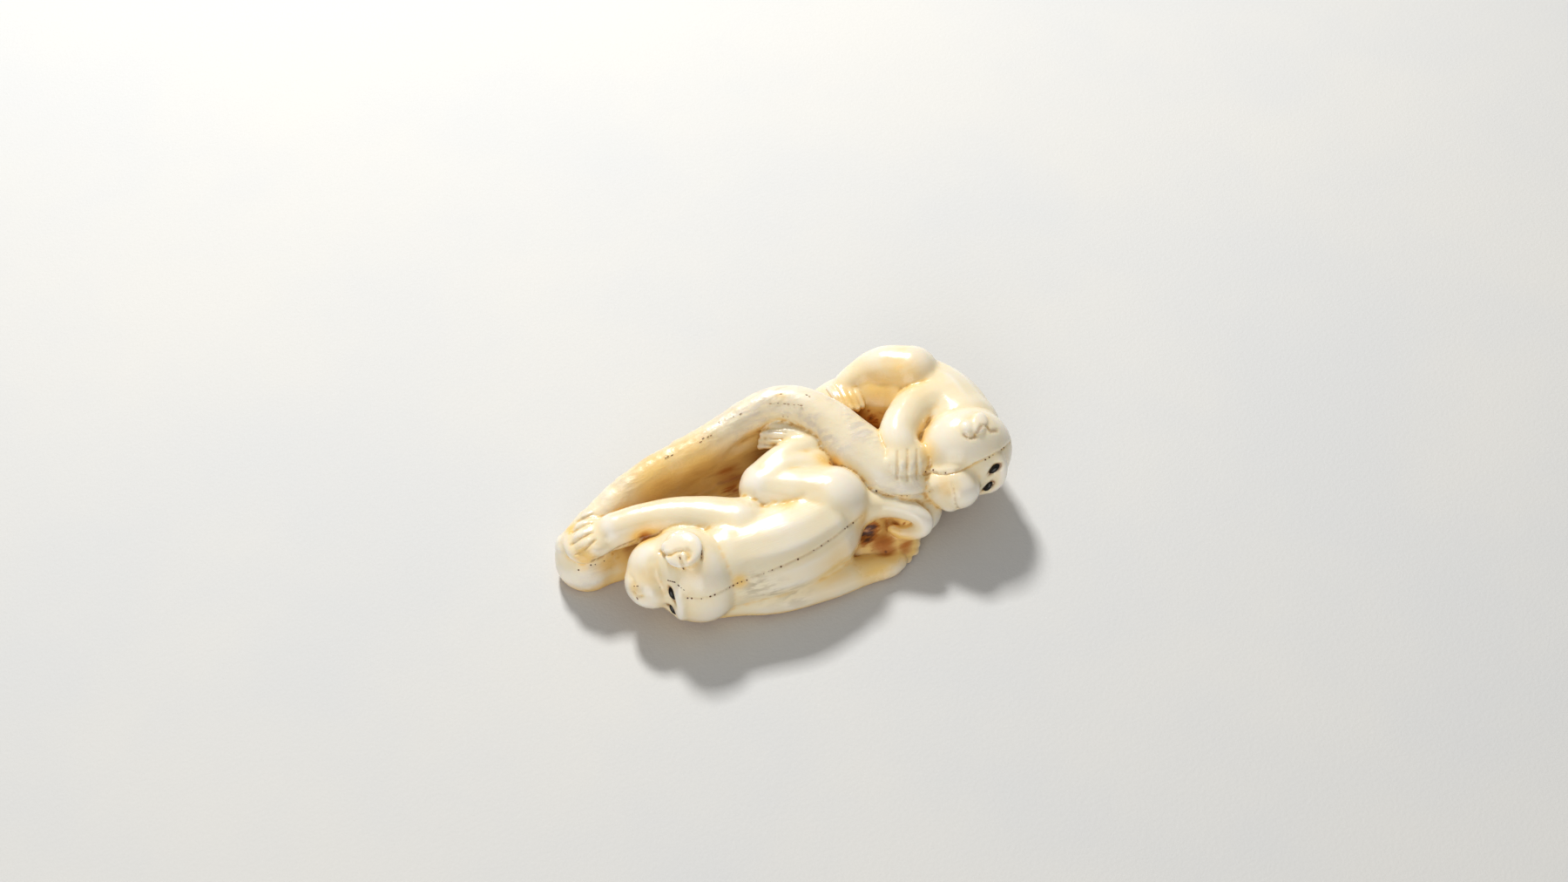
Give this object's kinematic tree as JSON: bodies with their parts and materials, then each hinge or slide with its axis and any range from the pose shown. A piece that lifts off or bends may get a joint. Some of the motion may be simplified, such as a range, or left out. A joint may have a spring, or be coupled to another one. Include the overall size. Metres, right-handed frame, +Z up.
{
  "type": "netsuke",
  "caption": "Carved toggle in the form of monkeys clinging to a hooked bough, with dark inlaid eyes, an open hollow between arm and bough, and an underside rubbed flat",
  "frame": {"origin": "on the table, under the middle of the box round the carving", "axes": "+X runs along the carving, from the bough's cut end to the far monkey's crown; -Y is the side the near monkey lies on; +Z is up when it rests on its underside"},
  "size_m": [0.0573, 0.0288, 0.0156],
  "materials": {
    "creamy_ivory": "hand-polished, stained amber in the hollows",
    "dark_horn": "polished"
  },
  "bodies": {
    "root": {"carving": "creamy_ivory", "eye_near_upper": "dark_horn", "eye_near_lower": "dark_horn", "eye_far_upper": "dark_horn", "eye_far_lower": "dark_horn"}
  },
  "joints": []
}
